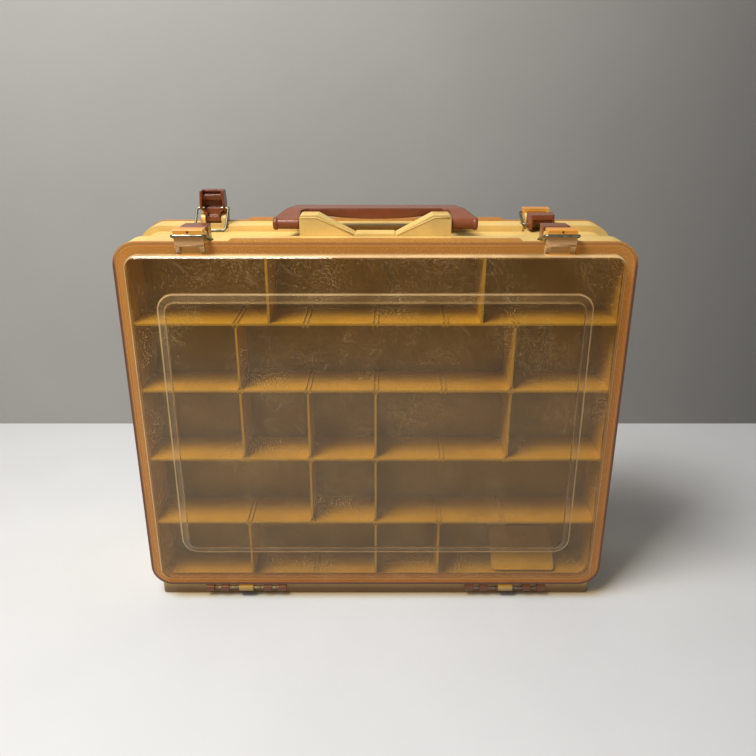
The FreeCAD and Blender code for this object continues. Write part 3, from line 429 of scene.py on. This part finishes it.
def drawn_steel(settings):
    """Drawn steel rod: grey, brushed by the die, with a little rust."""
    material, tree = new_material("steel_rod_drawn")
    place = add(tree, "ShaderNodeTexCoord").outputs["Object"]
    lines_place = add(tree, "ShaderNodeMapping", values={"Scale": (0.05, 1.0, 1.0)},
                      links={"Vector": place}).outputs["Vector"]
    lines = add(tree, "ShaderNodeTexNoise", values={"Scale": 1 / (0.5 * MM), "Detail": 3.0},
                links={"Vector": lines_place}).outputs["Fac"]
    rust = add(tree, "ShaderNodeTexNoise", values={"Scale": 1 / (3 * MM), "Detail": 5.0, "Roughness": 0.7},
               links={"Vector": place}).outputs["Fac"]
    base = ramp_between(tree, rust, [(0.42, linear(settings.pin_colour)), (0.62, linear("#6E5138"))])
    rough = ramp_between(tree, lines, [(0.35, grey(0.25)), (0.65, grey(0.45))])
    shader = add(tree, "ShaderNodeBsdfPrincipled", values={"Metallic": 1.0},
                 links={"Base Color": base, "Roughness": rough})
    add(tree, "ShaderNodeOutputMaterial", links={"Surface": shader.outputs["BSDF"]})
    return material


def gate_mark(settings):
    """Broken-off gate of the mould: dark, rough and torn."""
    material, tree = new_material("amber_styrene_gate_mark")
    place = add(tree, "ShaderNodeTexCoord").outputs["Object"]
    torn = add(tree, "ShaderNodeTexNoise", values={"Scale": 1 / (0.4 * MM), "Detail": 3.0},
               links={"Vector": place}).outputs["Fac"]
    base = ramp_between(tree, torn, [(0.35, linear("#2E1A10")), (0.65, linear("#5C3519"))])
    bump = add(tree, "ShaderNodeBump", values={"Strength": 0.5, "Distance": 0.1 * MM}, links={"Height": torn})
    shader = add(tree, "ShaderNodeBsdfPrincipled", values={"Roughness": 0.55},
                 links={"Base Color": base, "Normal": bump.outputs["Normal"]})
    add(tree, "ShaderNodeOutputMaterial", links={"Surface": shader.outputs["BSDF"]})
    return material


def dress(names, material):
    """Gives CAD nodes their material."""
    for name in names:
        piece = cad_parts[name]
        piece.data.materials.clear()
        piece.data.materials.append(material)


def material_once(name, make, settings):
    """The material with this name, made at its first use."""
    return bpy.data.materials.get(name) or make(settings)


# Shapes of the small moulded details

def turned_piece(name, centre, axis, profile, material, body, count=40):
    """Solid of revolution: profile holds radius and distance along the axis, from a centre."""
    axis = Vector(axis).normalized()
    side = axis.orthogonal().normalized()
    other = axis.cross(side)
    shape = bmesh.new()
    rings = []
    for radius, along in profile:
        ring = []
        for step in range(count):
            turn = 2 * math.pi * step / count
            spoke = side * math.cos(turn) + other * math.sin(turn)
            ring.append(shape.verts.new(Vector(centre) + axis * along + spoke * radius))
        rings.append(ring)
    for first, second in zip(rings, rings[1:]):
        for step in range(count):
            following = (step + 1) % count
            shape.faces.new([first[step], first[following], second[following], second[step]])
    shape.faces.new(list(reversed(rings[0])))
    shape.faces.new(rings[-1])
    return finished(name, shape, material, body)


def bead(name, path, out, width, height, material, body):
    """Half-round bead along a path on a face, with mitred corners; out is the face's direction."""
    out = Vector(out)
    path = [Vector(point) for point in path]
    shape = bmesh.new()
    rings = []
    for index, point in enumerate(path):
        before = (point - path[index - 1]).normalized() if index else (path[1] - point).normalized()
        after = (path[index + 1] - point).normalized() if index + 1 < len(path) else before
        along = (before + after).normalized()
        side = out.cross(along).normalized() / max(0.4, along.dot(before))
        ring = []
        for step in range(9):
            turn = math.pi * step / 8
            reach = side * math.cos(turn) * width / 2 + out * (math.sin(turn) * height - 0.05 * MM)
            ring.append(shape.verts.new(point + reach))
        rings.append(ring)
    for first, second in zip(rings, rings[1:]):
        for step in range(9):
            following = (step + 1) % 9
            shape.faces.new([first[step], first[following], second[following], second[step]])
    shape.faces.new(list(reversed(rings[0])))
    shape.faces.new(rings[-1])
    return finished(name, shape, material, body)


def finished(name, shape, material, body):
    """Object from a shape, smooth, with its material, riding on its body."""
    bmesh.ops.recalc_face_normals(shape, faces=shape.faces)
    mesh = bpy.data.meshes.new(name)
    shape.to_mesh(mesh)
    shape.free()
    mesh.shade_smooth()
    mesh.materials.append(material)
    piece = bpy.data.objects.new(name, mesh)
    bpy.context.scene.collection.objects.link(piece)
    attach(piece, body)
    return piece


# Operators, one for each group of pieces

class DressTrays(bpy.types.Operator):
    """Gives the trays, shelves, walls, dividers, foot rails and handle guard their moulded tan plastic"""

    bl_idname = "tackle_box.trays"
    bl_label = "Trays and dividers"

    def execute(self, context):
        settings = context.scene.tackle_box_plastic
        tan = material_once("tan_polypropylene_moulded_satin", moulded_polypropylene, settings)
        words = ("tray", "shelf", "wall", "divider", "foot_rail", "guard")
        dress([name for name in NODES if any(word in name for word in words)], tan)
        # The floors get a darker tan: painted shade deep in the cells
        shaded_floor = moulded_polypropylene(settings, "tan_polypropylene_floor_shaded", settings.floor_shade_colour)
        dress([name for name in NODES if name.endswith("tray_floor")], shaded_floor)
        return {"FINISHED"}


class DressLids(bpy.types.Operator):
    """Gives the two lids their clear amber plastic"""

    bl_idname = "tackle_box.lids"
    bl_label = "Lids"

    def execute(self, context):
        amber = material_once("amber_styrene_clear_scuffed", clear_styrene, context.scene.tackle_box_plastic)
        dress([name for name in NODES if name.endswith("_lid")], amber)
        return {"FINISHED"}


class DressLatches(bpy.types.Operator):
    """Gives the latch levers their brown plastic, and the bails and pins their metals"""

    bl_idname = "tackle_box.latches"
    bl_label = "Latches and hinge pins"

    def execute(self, context):
        scene = context.scene
        brown = material_once("brown_abs_moulded_worn", moulded_brown_abs, scene.tackle_box_plastic)
        wire = material_once("steel_wire_plated_tarnished", plated_wire, scene.tackle_box_metal)
        steel = material_once("steel_rod_drawn", drawn_steel, scene.tackle_box_metal)
        dress([name for name in NODES if "latch_lever" in name], brown)
        dress([name for name in NODES if "latch_bail" in name], wire)
        dress([name for name in NODES if "_pin_" in name], steel)
        return {"FINISHED"}


class DressHandle(bpy.types.Operator):
    """Gives the handle its brown plastic"""

    bl_idname = "tackle_box.handle"
    bl_label = "Handle"

    def execute(self, context):
        brown = material_once("brown_abs_moulded_worn", moulded_brown_abs, context.scene.tackle_box_plastic)
        dress(["handle"], brown)
        return {"FINISHED"}


class AddMouldMarks(bpy.types.Operator):
    """Adds the beads, gate marks and boss ends left by the moulds"""

    bl_idname = "tackle_box.mould_marks"
    bl_label = "Mould marks and beads"

    def execute(self, context):
        settings = context.scene.tackle_box_plastic
        tan = material_once("tan_polypropylene_moulded_satin", moulded_polypropylene, settings)
        brown = material_once("brown_abs_moulded_worn", moulded_brown_abs, settings)
        amber = material_once("amber_styrene_clear_scuffed", clear_styrene, settings)
        gate = material_once("amber_styrene_gate_mark", gate_mark, settings)
        for side, place in (("left", -1), ("right", 1)):
            for lid, way in (("front", -1), ("back", 1)):
                middle = place * KEEPER_PLACE
                turned_piece(lid + "_keeper_gate_" + side, (middle, way * 55.2 * MM, 326.3 * MM), (0, way, 0),
                             [(0.9 * MM, -0.2 * MM), (0.85 * MM, 0.12 * MM), (0.6 * MM, 0.2 * MM),
                              (0.25 * MM, 0.06 * MM)], gate, lid + "_lid")
                bead(lid + "_keeper_foot_bead_" + side,
                     [(middle - 10.4 * MM, way * 53.1 * MM, 315.9 * MM),
                      (middle + 10.4 * MM, way * 53.1 * MM, 315.9 * MM)],
                     (0, way, 0), 1.7 * MM, 0.6 * MM, amber, lid + "_lid")
            turned_piece("handle_boss_end_" + side, (place * 76.2 * MM, -17.0 * MM, 326.0 * MM), (place, 0, 0),
                         [(4.1 * MM, -1.0 * MM), (4.75 * MM, -0.4 * MM), (5.0 * MM, 0.4 * MM), (5.0 * MM, 1.6 * MM),
                          (4.7 * MM, 2.4 * MM), (3.9 * MM, 2.9 * MM), (2.0 * MM, 3.2 * MM), (0.6 * MM, 3.25 * MM)],
                         brown, "handle")
            border = [(57.2, 331.4), (45.0, 331.4), (16.9, 318.4)]
            bead("guard_border_" + side, [(place * x * MM, -24.0 * MM, z * MM) for x, z in border],
                 (0, -1, 0), 1.2 * MM, 0.3 * MM, tan, "case")
        turned_piece("guard_gate_mark", (-54.0 * MM, -10.5 * MM, 333.5 * MM), (0, 0, 1),
                     [(1.0 * MM, -0.2 * MM), (0.9 * MM, 0.1 * MM), (0.7 * MM, 0.12 * MM), (0.4 * MM, 0.02 * MM)],
                     gate, "case")
        return {"FINISHED"}


class SetStage(bpy.types.Operator):
    """Puts the case on a pale table before a wall, both with painted shade (the table darker towards the front, the
    wall darker to the right), with soft lamps and the camera
    """

    bl_idname = "tackle_box.stage"
    bl_label = "Stage"

    def execute(self, context):
        scene = context.scene
        settings = scene.tackle_box_stage
        table = self.surface("stage_table", "painted_tabletop_matt", settings.table_colour,
                             [(-2.2, -1.6), (2.2, -1.6), (2.2, 1.6), (-2.2, 1.6)], False,
                             "Y", [(-0.85, 0.30), (-0.50, 1.0)])
        wall = self.surface("stage_wall", "painted_wall_matt", settings.wall_colour,
                            [(-3.0, -1.0), (3.0, -1.0), (3.0, 2.6), (-3.0, 2.6)], True,
                            "X", [(0.05, 1.0), (0.60, 0.42)])
        self.lamp("key_lamp", (-0.42, -0.40, 1.22), (0.0, 0.0, 0.12), 0.5, settings.key_power)
        self.lamp("fill_lamp", (0.15, -1.6, 0.9), (0.0, 0.0, 0.15), 1.2, settings.fill_power)
        self.world(scene)
        self.camera(scene, settings)
        scene.view_settings.view_transform = "Standard"
        return {"FINISHED"}

    def surface(self, name, finish, colour, corners, upright, axis, painted_dimming):
        mesh = bpy.data.meshes.new(name)
        shape = bmesh.new()
        if upright:
            places = [(x, 0.32, z) for x, z in corners]
        else:
            places = [(x, y, -0.0005) for x, y in corners]
        shape.faces.new([shape.verts.new(place) for place in places])
        shape.to_mesh(mesh)
        shape.free()
        piece = bpy.data.objects.new(name, mesh)
        bpy.context.scene.collection.objects.link(piece)
        material, tree = new_material(finish)
        place = add(tree, "ShaderNodeTexCoord").outputs["Object"]
        cloud = add(tree, "ShaderNodeTexNoise", values={"Scale": 3.0, "Detail": 5.0, "Roughness": 0.6},
                    links={"Vector": place}).outputs["Fac"]
        base = linear(colour)
        dark = tuple(v * 0.93 for v in base[:3]) + (1.0,)
        cover = ramp_between(tree, cloud, [(0.35, dark), (0.65, base)])
        # Painted shade: the table darkens towards the front and the wall towards the right
        along = add(tree, "ShaderNodeSeparateXYZ", links={"Vector": place}).outputs[axis]
        along = add(tree, "ShaderNodeMath", {"operation": "MULTIPLY_ADD"}, {1: 0.5, 2: 0.5}, {0: along}).outputs[0]
        painted_dim = ramp_between(tree, along, [(0.5 + at / 2, grey(share)) for at, share in painted_dimming])
        cover = add(tree, "ShaderNodeMix", {"data_type": "RGBA", "blend_type": "MULTIPLY"}, {"Factor": 1.0},
                    {"A": cover, "B": painted_dim}).outputs["Result"]
        shader = add(tree, "ShaderNodeBsdfPrincipled", values={"Roughness": 0.7}, links={"Base Color": cover})
        # Seen from its back, a surface lets the view through to the case
        through = add(tree, "ShaderNodeBsdfTransparent").outputs["BSDF"]
        shown = add(tree, "ShaderNodeMixShader",
                    links={"Fac": add(tree, "ShaderNodeNewGeometry").outputs["Backfacing"],
                           1: shader.outputs["BSDF"], 2: through})
        add(tree, "ShaderNodeOutputMaterial", links={"Surface": shown.outputs["Shader"]})
        mesh.materials.append(material)
        return piece

    def lamp(self, name, place, target, size, power):
        light = bpy.data.lights.new(name, "AREA")
        light.shape = "SQUARE"
        light.size = size
        light.energy = power
        lamp = bpy.data.objects.new(name, light)
        bpy.context.scene.collection.objects.link(lamp)
        lamp.location = place
        aim = Vector(target) - Vector(place)
        lamp.rotation_euler = aim.to_track_quat("-Z", "Y").to_euler()

    def world(self, scene):
        world = bpy.data.worlds.new("plain_room")
        world.use_nodes = True
        tree = world.node_tree
        tree.nodes.clear()
        back = add(tree, "ShaderNodeBackground", values={"Color": linear("#E6E6E8"), "Strength": 0.22})
        add(tree, "ShaderNodeOutputWorld", links={"Surface": back.outputs["Background"]})
        scene.world = world

    def camera(self, scene, settings):
        lens = bpy.data.cameras.new("photo_camera")
        lens.sensor_fit = "HORIZONTAL"
        lens.sensor_width = 36.0
        lens.lens = settings.camera_focal
        lens.clip_start = 0.01
        camera = bpy.data.objects.new("photo_camera", lens)
        scene.collection.objects.link(camera)
        camera.location = (settings.camera_side, -settings.camera_distance, settings.camera_height)
        camera.rotation_euler = (math.pi / 2 - settings.camera_pitch, 0.0, -settings.camera_yaw)
        scene.camera = camera


class TackleBoxPanel(bpy.types.Panel):
    """Steps that dress the tackle box"""

    bl_idname = "VIEW3D_PT_tackle_box"
    bl_label = "Tackle box"
    bl_space_type = "VIEW_3D"
    bl_region_type = "UI"
    bl_category = "Tackle box"

    def draw(self, context):
        for step in STEPS:
            self.layout.operator(step.bl_idname)


STEPS = [DressTrays, DressLids, DressLatches, DressHandle, AddMouldMarks, SetStage]
GROUPS = {"tackle_box_plastic": PlasticSettings, "tackle_box_metal": MetalSettings,
          "tackle_box_stage": StageSettings}


def register():
    for group in GROUPS.values():
        bpy.utils.register_class(group)
    for name, group in GROUPS.items():
        setattr(bpy.types.Scene, name, bpy.props.PointerProperty(type=group))
    for step in STEPS:
        bpy.utils.register_class(step)
    bpy.utils.register_class(TackleBoxPanel)


def unregister():
    bpy.utils.unregister_class(TackleBoxPanel)
    for step in reversed(STEPS):
        bpy.utils.unregister_class(step)
    for name, group in GROUPS.items():
        delattr(bpy.types.Scene, name)
        bpy.utils.unregister_class(group)


def main():
    register()
    bpy.ops.tackle_box.trays()
    bpy.ops.tackle_box.lids()
    bpy.ops.tackle_box.latches()
    bpy.ops.tackle_box.handle()
    bpy.ops.tackle_box.mould_marks()
    bpy.ops.tackle_box.stage()


if __name__ == "__main__":
    main()
